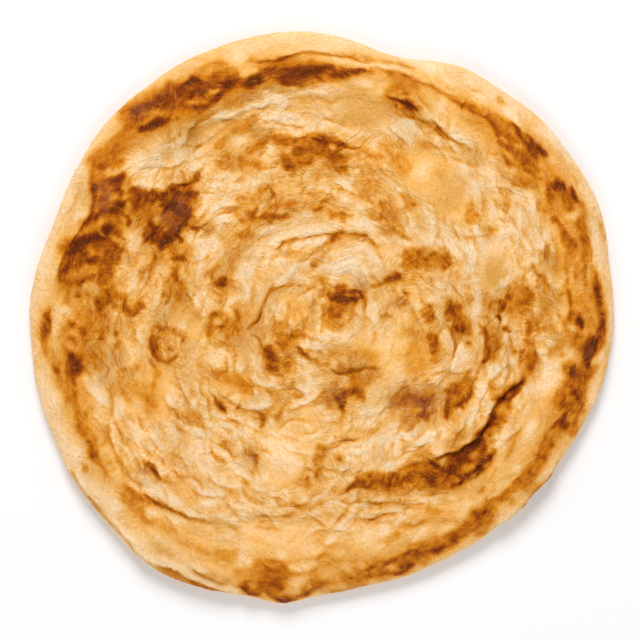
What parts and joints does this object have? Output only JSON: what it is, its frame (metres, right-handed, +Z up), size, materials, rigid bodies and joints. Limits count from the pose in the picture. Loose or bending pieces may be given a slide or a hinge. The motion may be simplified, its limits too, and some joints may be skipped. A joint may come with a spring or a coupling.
{
  "type": "paratha flatbread",
  "caption": "Round flaky flatbread with a wound-dough coil, a raised rim and griddle-browned crust, lying flat.",
  "frame": {"origin": "centre of the bread's bounding box, on the surface that its underside rests on", "axes": "+Z up out of the shown face; +Y to the shallow notch side of the rim, the top of the round as shown; +X to the right as seen from above"},
  "size_m": [0.1962, 0.1924, 0.0102],
  "materials": {
    "crust": "griddled dough: pale gold with brown scorched patches and a light butter sheen"
  },
  "bodies": {
    "root": {"paratha": "crust"}
  },
  "joints": []
}
